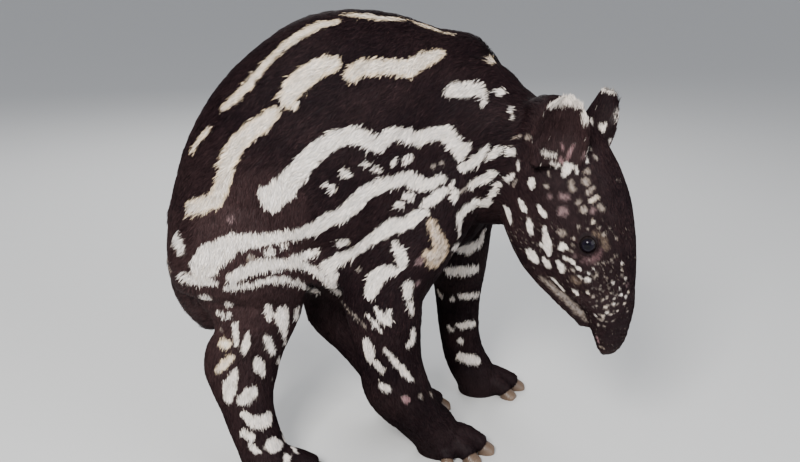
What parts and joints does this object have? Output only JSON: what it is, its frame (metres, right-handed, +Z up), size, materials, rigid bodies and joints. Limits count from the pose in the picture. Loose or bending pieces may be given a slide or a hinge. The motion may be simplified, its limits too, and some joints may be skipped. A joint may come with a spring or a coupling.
{
  "type": "malayan tapir calf",
  "caption": "Still life-size model of a malayan tapir calf, back arched and head hung low, in its striped and spotted dark coat.",
  "frame": {"origin": "on the floor, under the middle of the bounding box", "axes": "+X the way the animal faces, +Y to its left, +Z up"},
  "size_m": [0.5026, 0.2733, 0.4951],
  "materials": {
    "skin": "short dark coat with cream stripes and spots",
    "snout": "bare soft skin",
    "nail": "satin horn",
    "eye": "wet gloss"
  },
  "bodies": {
    "root": {"torso": "skin", "neck": "skin", "head": "skin", "proboscis": "snout", "tail": "skin", "ear_right": "skin", "ear_left": "skin", "eye_right": "eye", "eye_left": "eye", "leg_hind_right": "skin", "leg_hind_left": "skin", "leg_fore_right": "skin", "leg_fore_left": "skin", "nail_fore_right_1": "nail", "nail_fore_right_2": "nail", "nail_fore_right_3": "nail", "nail_fore_right_4": "nail", "nail_fore_left_1": "nail", "nail_fore_left_2": "nail", "nail_fore_left_3": "nail", "nail_fore_left_4": "nail", "nail_hind_right_1": "nail", "nail_hind_right_2": "nail", "nail_hind_right_3": "nail", "nail_hind_left_1": "nail", "nail_hind_left_2": "nail", "nail_hind_left_3": "nail"}
  },
  "joints": []
}
